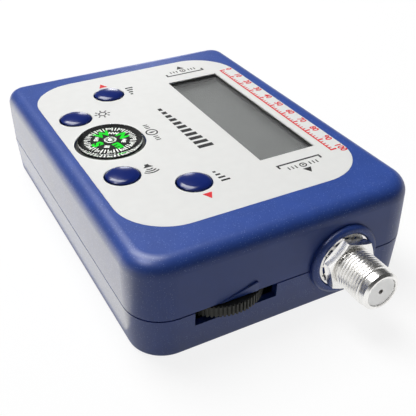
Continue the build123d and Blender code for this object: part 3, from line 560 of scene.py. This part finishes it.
def print_level_scale(materials):
    """Level scale from 0 to 100 along the display, in red."""
    shape = bmesh.new()
    x, y = scale_start
    step = scale_length / scale_steps
    line_end = x + scale_length + scale_overhang
    add_bar(shape, (x - scale_overhang, y), (line_end, y), scale_line, *ink)
    for i in range(scale_steps + 1):
        height, width = scale_short_tick if i % scale_steps_per_long_tick else scale_long_tick
        add_bar(shape, (x + i * step, y + scale_line / 2), (x + i * step, y + height), width, *ink)
    for value in range(0, 101, 10):
        place = (x + value / 100 * scale_length, y + scale_digit_rise)
        add_text(shape, str(value), scale_digit_size, place, 0, *ink, scale_digit_weight)
    make_piece("print_level_scale", shape, materials["red_ink"], "case")


bars_start = (-13.4 * mm, -2.2 * mm)
bars_length = 24.2 * mm
bars_count = 11
bars_height = 4.0 * mm
bars_lowest_share = 0.25
bars_width_share = 0.6


def print_rising_bars(materials):
    """Row of rising bars below the display, in black."""
    shape = bmesh.new()
    x, base = bars_start
    pitch = bars_length / (bars_count - 1 + bars_width_share)
    for i in range(bars_count):
        left = x + i * pitch
        right = left + bars_width_share * pitch
        rise = i / (bars_count - 1)
        top = base + bars_height * (bars_lowest_share + (1 - bars_lowest_share) * rise)
        add_prism(shape, [(left, base), (right, base), (right, top), (left, top)], *ink)
    make_piece("print_rising_bars", shape, materials["black_ink"], "case")


bracket_gap = 0.3 * mm
bracket_half = 5.9 * mm
bracket_hook = 1.3 * mm
bracket_line = 0.5 * mm
socket_shift = 2.1 * mm
socket_ring = (0.62 * mm, 0.9 * mm)
socket_pin = (0.001 * mm, 0.25 * mm)
socket_pin_steps = 24
dash_start = 1.5 * mm
dash_end = 2.7 * mm
dash_first = 1.9 * mm
dash_pitch = 0.95 * mm
dash_line = 0.3 * mm
port_arrow_tip = 5.6 * mm
port_arrow_base = 3.6 * mm
port_arrow_half = 1.1 * mm


def add_port_mark(shape, x, y, side):
    """Bracket, socket sign between dashes, and arrow head; side is the direction that it points in."""
    add_bar(shape, (x, y - bracket_half), (x, y + bracket_half), bracket_line, *ink)
    hook_start, hook_end = x + side * bracket_line / 2, x + side * bracket_hook
    for end in (1, -1):
        hook = y + end * (bracket_half - bracket_line / 2)
        add_bar(shape, (hook_start, hook), (hook_end, hook), bracket_line, *ink)
    socket = (x + side * socket_shift, y)
    add_ring(shape, socket, *socket_ring, *ink)
    add_ring(shape, socket, *socket_pin, *ink, steps=socket_pin_steps)
    for end in (1, -1):
        for i in range(dash_count):
            dash = y + end * (dash_first + dash_pitch * i)
            add_bar(shape, (x + side * dash_start, dash), (x + side * dash_end, dash), dash_line, *ink)
    tip, base = x + side * port_arrow_tip, x + side * port_arrow_base
    add_triangle(shape, (tip, y), (base, y), port_arrow_half, *ink)


def print_port_marks(materials):
    """A mark for the connector beyond each end of the display, in black."""
    shape = bmesh.new()
    middle = centre_of("display_frame")
    reach = half_width("display_frame") + bracket_gap
    for side in (1, -1):
        add_port_mark(shape, middle.x + side * reach, middle.y, side)
    make_piece("print_port_marks", shape, materials["black_ink"], "case")


sign_line = 0.36 * mm


def add_outline(shape, place, outline):
    """A filled outline of points in millimetres from a place."""
    add_prism(shape, [place + Vector(point) * mm for point in outline], *ink)


level_sign_shift = (0.3 * mm, 6.6 * mm)
level_sign_bars = 4
level_sign_pitch = 1.35 * mm
level_sign_drop = 1.1 * mm
level_sign_shortest = 0.7 * mm
level_sign_growth = 0.5 * mm
level_sign_width = 0.6 * mm


def add_level_sign(shape, key, rising):
    """Row of bars that rise or fall, for a higher or lower level."""
    place = place_of(key) + Vector(level_sign_shift)
    foot = place.y - level_sign_drop
    last = level_sign_bars - 1
    for i in range(level_sign_bars):
        x = place.x + (i - last / 2) * level_sign_pitch
        height = level_sign_shortest + level_sign_growth * (i if rising else last - i)
        add_bar(shape, (x, foot), (x, foot + height), level_sign_width, *ink)


light_sign_shift = (0.4 * mm, 7.1 * mm)
light_sign_radius = 0.75 * mm
light_sign_steps = 40
light_sign_rays = 8
light_ray_start = 1.4 * mm
light_ray_end = 2.1 * mm


def add_light_sign(shape, key):
    """Lamp with rays."""
    place = place_of(key) + Vector(light_sign_shift)
    outer = light_sign_radius + sign_line
    add_ring(shape, place, light_sign_radius, outer, *ink, steps=light_sign_steps)
    for angle in full_turn(light_sign_rays):
        ray = Vector((cos(angle), sin(angle)))
        add_bar(shape, place + ray * light_ray_start, place + ray * light_ray_end, sign_line, *ink)


sound_sign_shift = (-0.9 * mm, 6.6 * mm)
speaker_outline = ((-1.2, -0.5), (-0.6, -0.5), (0.2, -1.2), (0.2, 1.2), (-0.6, 0.5), (-1.2, 0.5))
sound_wave_radii = (1.0 * mm, 1.8 * mm, 2.6 * mm)
sound_wave_angle = 40


def add_sound_sign(shape, key):
    """Speaker with sound waves."""
    place = place_of(key) + Vector(sound_sign_shift)
    add_outline(shape, place, speaker_outline)
    for radius in sound_wave_radii:
        outer = radius + sign_line
        add_ring(shape, place, radius, outer, *ink, start=-sound_wave_angle, end=sound_wave_angle)


compass_sign_rise = 10.9 * mm
compass_sign_radius = 1.2 * mm
compass_sign_steps = 48
needle_outline = ((0, -0.95), (0.34, 0), (0, 0.95), (-0.34, 0))
compass_dash_first = 2.4 * mm
compass_dash_pitch = 0.9 * mm
compass_dash_half = 0.6 * mm


def add_compass_sign(shape):
    """Compass needle in a ring, between dashes."""
    place = place_of("compass_card") + Vector((0, compass_sign_rise))
    outer = compass_sign_radius + sign_line
    add_ring(shape, place, compass_sign_radius, outer, *ink, steps=compass_sign_steps)
    add_outline(shape, place, needle_outline)
    low, high = place.y - compass_dash_half, place.y + compass_dash_half
    for side in (1, -1):
        for i in range(dash_count):
            x = place.x + side * (compass_dash_first + compass_dash_pitch * i)
            add_bar(shape, (x, low), (x, high), sign_line, *ink)


def print_key_signs(materials):
    """Small line signs beside the keys and the compass, in black."""
    shape = bmesh.new()
    add_level_sign(shape, "down_button", rising=False)
    add_level_sign(shape, "up_button", rising=True)
    add_light_sign(shape, "light_button")
    add_sound_sign(shape, "buzzer_button")
    add_compass_sign(shape)
    make_piece("print_key_signs", shape, materials["black_ink"], "case")


key_arrow_gap = 5.3 * mm
key_arrow_rise = 0.4 * mm
key_arrow_length = 2.3 * mm
key_arrow_half = 1.15 * mm


def print_key_arrows(materials):
    """Red arrow heads that point away from the outer keys."""
    shape = bmesh.new()
    for key, side in (("down_button", -1), ("up_button", 1)):
        base = place_of(key) + Vector((side * key_arrow_gap, key_arrow_rise))
        tip = base + Vector((side * key_arrow_length, 0))
        add_triangle(shape, tip, base, key_arrow_half, *ink)
    make_piece("print_key_arrows", shape, materials["red_ink"], "case")


# Compass. Card ink is the bottom and the top of the prints on its card.
north = radians(101)
card_place = place_of("compass_card")
card_radius = half_width("compass_card")
card_top = top_of("compass_card")
card_ink = (card_top, card_top + ink_rise)
card_marks = 48
card_marks_per_number = 4
card_tick_start = 1.8 * mm
card_tick_end = 0.3 * mm
card_tick_width = 0.26 * mm
card_number_size = 1.15 * mm
card_number_inset = 0.85 * mm
card_number_weight = 0.02
main_point_size = 3.6 * mm
main_point_radius = 3.4 * mm
main_point_weight = 0.05
between_point_size = 1.35 * mm
between_point_radius = 3.3 * mm
between_point_weight = 0.04


def on_card(degrees, radius):
    """A place on the card, with the angle counted clockwise from its north."""
    angle = north - radians(degrees)
    return card_place + radius * Vector((cos(angle), sin(angle)))


def add_card_text(shape, text, size, degrees, radius, weight):
    """Characters on the card, with their tops towards its rim."""
    turn = north - radians(degrees) - pi / 2
    add_text(shape, text, size, on_card(degrees, radius), turn, *card_ink, weight)


def make_compass_marks(materials):
    """Ticks, degree numbers and points of the compass on the card."""
    white = bmesh.new()
    green = bmesh.new()
    number_radius = card_radius - card_number_inset
    for i in range(card_marks):
        degrees = 360 / card_marks * i
        if i % card_marks_per_number == 0:
            number = str(round(degrees))
            add_card_text(white, number, card_number_size, degrees, number_radius, card_number_weight)
        else:
            start = on_card(degrees, card_radius - card_tick_start)
            end = on_card(degrees, card_radius - card_tick_end)
            add_bar(white, start, end, card_tick_width, *card_ink)
    for i, point in enumerate(("N", "E", "S", "W")):
        add_card_text(green, point, main_point_size, 90 * i, main_point_radius, main_point_weight)
    for i, point in enumerate(("NE", "SE", "SW", "NW")):
        degrees = 90 * i + 45
        add_card_text(white, point, between_point_size, degrees, between_point_radius, between_point_weight)
    make_piece("compass_ticks", white, materials["white_ink"], "card")
    make_piece("compass_letters", green, materials["green_ink"], "card")


eyelet_radius = 1.5 * mm
eyelet_rise = 0.1 * mm


def make_compass_eyelet(materials):
    """The silvery rim of the card round its hub."""
    shape = bmesh.new()
    add_ring(shape, card_place, half_width("compass_hub"), eyelet_radius, card_top, card_top + eyelet_rise)
    make_piece("compass_eyelet", shape, materials["hub"], "card")


liner_gap = 0.05 * mm


def make_compass_liner(materials):
    """A thin black layer on the floor of the compass, round the pivot."""
    inner = half_width("compass_pivot") + liner_gap
    outer = half_width("compass_capsule") - liner_gap
    low = top_of("compass_base")
    shape = bmesh.new()
    add_ring(shape, card_place, inner, outer, low, low + ink_rise)
    make_piece("compass_liner", shape, materials["black_ink"], "case")


plug_edge = 0.15 * mm
plug_edge_steps = 8
plug_crown = 0.15 * mm
plug_crown_steps = 12
plug_steps = 128


def make_compass_plug(materials):
    """The clear capsule filled with liquid, as one clear body with a round edge and a low crown."""
    low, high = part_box("compass_capsule")
    radius = half_width("compass_capsule")
    rim = radius - plug_edge
    shoulder = high.z - plug_crown
    profile = [(radius, low.z)]
    for i in range(plug_edge_steps + 1):
        angle = pi / 2 * i / plug_edge_steps
        profile.append((rim + plug_edge * cos(angle), shoulder - plug_edge * (1 - sin(angle))))
    for i in range(1, plug_crown_steps):
        share = i / plug_crown_steps
        profile.append((rim * (1 - share), shoulder + plug_crown * (1 - (1 - share) ** 2)))
    angles = full_turn(plug_steps)
    shape = bmesh.new()
    join_loops(shape, [[(x, y, z) for x, y in arc(card_place, r, angles)] for r, z in profile])
    piece = make_piece("compass_plug", shape, materials["clear"], "case")
    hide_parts("compass_capsule")


# Connectors. Side is the direction along X in which one points.
port_sides = {"receiver_port": 1, "satellite_port": -1}
port_steps = 96
port_reach = 13.296 * mm
block_depth = 9.0 * mm
barrel_radius = 4.5 * mm
bore_radius = 3.55 * mm
back_hole_radius = 1.1 * mm
back_wall = 1.5 * mm
collar_length = 2.0 * mm
tip_chamfer = 0.5 * mm
thread_start = 3.8 * mm
thread_crest_radius = 4.75 * mm
thread_root_radius = 4.35 * mm
ridge_foot_radius = 4.3 * mm
ridge_foot_half = 0.31 * mm
ridge_crest_half = 0.13 * mm
ridge_inset = 0.3 * mm
ridge_pitch = 0.794 * mm
ridge_turns = 8.85
ridge_end_steps = 12
ridge_end_share = 0.04


def port_point(port, side, along, radius, angle):
    """A point at a distance from the middle plane, turned about the connectors' axis."""
    return (side * along, port.y + radius * cos(angle), port.z + radius * sin(angle))


def make_port_barrel(name, side, materials):
    """Barrel of one connector with its square block and the groove for its thread."""
    low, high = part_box(f"{name}_body")
    port = (low + high) / 2
    half_block = (high.y - low.y) / 2
    tip = max(abs(low.x), abs(high.x))
    back = min(abs(low.x), abs(high.x))
    front = back + block_depth
    start = tip - port_reach + thread_start
    collar = tip - collar_length
    bottom = back + back_wall
    angles = full_turn(port_steps)

    def circle(along, radius):
        return [port_point(port, side, along, radius, angle) for angle in angles]

    def square(along):
        spans = [half_block / max(abs(cos(angle)), abs(sin(angle))) for angle in angles]
        return [port_point(port, side, along, span, angle) for span, angle in zip(spans, angles)]

    shape = bmesh.new()
    join_loops(
        shape,
        [
            circle(back, back_hole_radius), square(back), square(front), circle(front, barrel_radius),
            circle(start, barrel_radius), circle(start, thread_root_radius),
            circle(collar, thread_root_radius), circle(collar, barrel_radius),
            circle(tip - tip_chamfer, barrel_radius), circle(tip, barrel_radius - tip_chamfer),
            circle(tip, bore_radius), circle(bottom, bore_radius), circle(bottom, back_hole_radius),
        ],
        ends="joined",
    )
    barrel = make_piece(f"{name}_barrel", shape, materials["nickel"], "case")
    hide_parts(f"{name}_body")


def make_port_thread(name, side, materials):
    """Helical ridge in the groove of one barrel. It sinks into the groove at both ends."""
    low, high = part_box(f"{name}_body")
    port = (low + high) / 2
    start = max(abs(low.x), abs(high.x)) - port_reach + thread_start + ridge_inset
    height = thread_crest_radius - thread_root_radius
    count = round(ridge_turns * port_steps)
    loops = []
    for i in range(count + 1):
        middle = start + ridge_pitch * i / port_steps
        grown = min(1, i / ridge_end_steps, (count - i) / ridge_end_steps)
        crest = thread_root_radius + height * (ridge_end_share + (1 - ridge_end_share) * grown)
        section = [
            (middle - ridge_foot_half, ridge_foot_radius), (middle - ridge_crest_half, crest),
            (middle + ridge_crest_half, crest), (middle + ridge_foot_half, ridge_foot_radius),
        ]
        angle = 2 * pi * i / port_steps
        loops.append([port_point(port, side, along, radius, angle) for along, radius in section])
    shape = bmesh.new()
    join_loops(shape, loops)
    make_piece(f"{name}_thread", shape, materials["nickel"], "case")


# Floor and background. The camera and clear pieces see them pale, and they light the object far less.
floor_size = 4.0
floor_drop = 0.05 * mm
floor_grain = 20 * mm
floor_grey = 0.26
floor_spread = 0.01
floor_seen_grey = 0.15
floor_glow = 0.86
world_fill = 0.05
sky_low = 0.12
sky_high = 0.2
sky_low_glow = 0.4
sky_high_glow = 0.07


def seen_directly(tree):
    """1 for rays from the camera, a gloss or a clear piece, and 0 for rays that light the object."""
    path = node(tree, "LightPath").outputs
    most = calculated(tree, "MAXIMUM", path["Is Camera Ray"], path["Is Glossy Ray"])
    return calculated(tree, "MAXIMUM", most, path["Is Transmission Ray"])


def make_floor():
    material, tree, shader, place = start_material("pale_floor")
    grain = noise(tree, place, floor_grain)
    lit = tones(tree, grain, (floor_grey,) * 3, (floor_grey * (1 + floor_spread),) * 3)
    seen = (floor_seen_grey,) * 3
    put(tree, shader.inputs["Base Color"], mixed_colours(tree, seen_directly(tree), lit, seen))
    shader.inputs["Roughness"].default_value = 1.0
    shader.inputs["Specular IOR Level"].default_value = 0.0
    shader.inputs["Emission Color"].default_value = (1, 1, 1, 1)
    glow = calculated(tree, "MULTIPLY", seen_directly(tree), floor_glow)
    put(tree, shader.inputs["Emission Strength"], glow)
    bpy.ops.mesh.primitive_plane_add(size=floor_size, location=(0, 0, -floor_drop))
    floor = bpy.context.object
    floor.name = "floor"
    floor.data.materials.append(material)


def make_world():
    """White as seen directly. Gloss sees a sky that darkens upwards, and the object gets a faint fill."""
    world = bpy.data.worlds.new("studio")
    scene.world = world
    world.use_nodes = True
    tree = world.node_tree
    background = tree.nodes["Background"]
    background.inputs["Color"].default_value = (1, 1, 1, 1)
    path = node(tree, "LightPath").outputs
    height = node(tree, "SeparateXYZ", Vector=node(tree, "TexCoord").outputs["Generated"]).outputs["Z"]
    mirrored = between(tree, height, sky_low_glow, sky_high_glow, sky_low, sky_high)
    fill = mixed_numbers(tree, path["Is Glossy Ray"], world_fill, mirrored)
    direct = calculated(tree, "MAXIMUM", path["Is Camera Ray"], path["Is Transmission Ray"])
    put(tree, background.inputs["Strength"], mixed_numbers(tree, direct, fill, 1.0))


# Lamps
top_lamp_place = (-0.42, -0.12, 0.92)
top_lamp_size = (0.75, 0.48)
top_lamp_radiance = 9.9
metal_lamp_place = (-0.73, -0.54, 0.41)
metal_lamp_size = (0.18, 0.18)
metal_lamp_radiance = 6.0
tip_lamp_distance = 0.12
tip_lamp_power = 0.3
tip_lamp_circle = 4.6 * mm
tip_lamp_blend = 0.3
tip_lamp_radius = 1.0 * mm


def make_soft_lamp(name, place, size, radiance, receivers=()):
    """A soft lamp that faces the object, with the radiance that its face shows.

    Where receivers are given, it lights them alone, and they alone cast its shadows.
    """
    length, width = size
    data = bpy.data.lights.new(name, "AREA")
    data.shape = "RECTANGLE"
    data.size = length
    data.size_y = width
    data.energy = radiance * pi * length * width
    lamp = bpy.data.objects.new(name, data)
    lamp.location = place
    lamp.rotation_euler = Vector(place).to_track_quat("Z", "X").to_euler()
    lamp.visible_camera = False
    scene.collection.objects.link(lamp)
    if receivers:
        lit = bpy.data.collections.new(name)
        for receiver in receivers:
            lit.objects.link(bpy.data.objects[receiver])
        lamp.light_linking.receiver_collection = lit
        lamp.light_linking.blocker_collection = lit


def make_tip_lamp():
    """A narrow lamp on the tip of the near connector, about as wide as the tip, which shades the case."""
    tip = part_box("receiver_port_insulator")[1]
    middle = centre_of("receiver_port_insulator")
    data = bpy.data.lights.new("tip_lamp", "SPOT")
    data.energy = tip_lamp_power
    data.spot_size = 2 * atan(tip_lamp_circle / tip_lamp_distance)
    data.spot_blend = tip_lamp_blend
    data.shadow_soft_size = tip_lamp_radius
    lamp = bpy.data.objects.new("tip_lamp", data)
    lamp.location = (tip.x + tip_lamp_distance, middle.y, middle.z)
    lamp.rotation_euler = (0, pi / 2, 0)
    lamp.visible_camera = False
    lamp.visible_glossy = False
    scene.collection.objects.link(lamp)


# Cards for reflections
card_white = (1.0, 1.0, 1.0)
corner_card_corners = [
    (-0.15, -0.347, 0.83), (0.15, -0.347, 0.83), (0.15, -0.553, 0.71), (-0.15, -0.553, 0.71),
]
corner_card_radiance = 15.0
side_card_x = (-0.3, 0.036)
side_card_y = (-0.3, -0.0342)
side_card_height = 0.001
side_card_radiance = 2.7
side_card_colour = (1.0, 0.965, 0.83)
back_card_corners = [(-1.12, 0.36, 0.08), (-1.07, 0.5, 0.08), (-1.07, 0.5, 0.34), (-1.12, 0.36, 0.34)]
back_card_radiance = 5.6
port_card_gap = 0.05 * mm
port_card_inner = 4.9 * mm
port_card_step = 8.0 * mm
port_card_outer = 16.0 * mm
port_card_start = radians(100)
port_card_end = radians(205)
port_card_steps = 24
port_card_radiance = 0.95


def make_card(name, corners, radiance, colour=card_white):
    """A bright card that only glossy surfaces see, and only on its front."""
    mesh = bpy.data.meshes.new(name)
    mesh.from_pydata([Vector(corner) for corner in corners], [], [tuple(range(len(corners)))])
    material = bpy.data.materials.new(name)
    material.use_nodes = True
    tree = material.node_tree
    tree.nodes.clear()
    glow = node(tree, "Emission", Color=colour, Strength=radiance)
    clear = node(tree, "BsdfTransparent")
    behind = node(tree, "NewGeometry").outputs["Backfacing"]
    output = node(tree, "OutputMaterial")
    put(tree, output.inputs["Surface"], mixed_shaders(tree, behind, glow, clear))
    mesh.materials.append(material)
    card = bpy.data.objects.new(name, mesh)
    scene.collection.objects.link(card)
    card.visible_camera = False
    card.visible_diffuse = False
    card.visible_transmission = False
    card.visible_shadow = False


def make_port_card(name, port, side, piece, inner, outer):
    """A pale card round a nut, just outside a piece, so that the metal mirrors more than the blue case."""
    front = side * (max(abs(corner.x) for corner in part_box(piece)) + port_card_gap)
    middle = centre_of(port + "_washer").yz
    sweep = port_card_end - port_card_start
    angles = [port_card_start + sweep * i / port_card_steps for i in range(port_card_steps + 1)]
    outline = arc(middle, outer, angles) + arc(middle, inner, reversed(angles))
    corners = [(front, y, z) for y, z in outline]
    make_card(name, corners if side > 0 else corners[::-1], port_card_radiance)


def make_lights():
    make_soft_lamp("top_lamp", top_lamp_place, top_lamp_size, top_lamp_radiance)
    metal = node_finishes["nickel"] + node_finishes["insulator"]
    metal = [name for name in metal if not name.endswith("_body")]
    metal += [f"{port}_{part}" for port in port_sides for part in ("barrel", "thread")]
    make_soft_lamp("metal_lamp", metal_lamp_place, metal_lamp_size, metal_lamp_radiance, metal)
    for port, side in port_sides.items():
        make_port_card(port + "_inner_card", port, side, port + "_washer", port_card_inner, port_card_step)
        make_port_card(port + "_outer_card", port, side, "top_shell", port_card_step, port_card_outer)
    make_card("corner_card", corner_card_corners, corner_card_radiance)
    left, right = side_card_x
    far, near = side_card_y
    outline = [(left, far), (right, far), (right, near), (left, near)]
    side_card_corners = [(x, y, side_card_height) for x, y in outline]
    make_card("side_card", side_card_corners, side_card_radiance, side_card_colour)
    make_card("back_card", back_card_corners, back_card_radiance)
    make_tip_lamp()


# The scene
make_camera()
materials = make_materials()
paint_nodes(materials)
print_level_scale(materials)
print_rising_bars(materials)
print_port_marks(materials)
print_key_signs(materials)
print_key_arrows(materials)
make_compass_marks(materials)
make_compass_eyelet(materials)
make_compass_liner(materials)
make_compass_plug(materials)
for port_name, port_side in port_sides.items():
    make_port_barrel(port_name, port_side, materials)
    make_port_thread(port_name, port_side, materials)
make_floor()
make_world()
make_lights()
scene.view_settings.view_transform = "Standard"
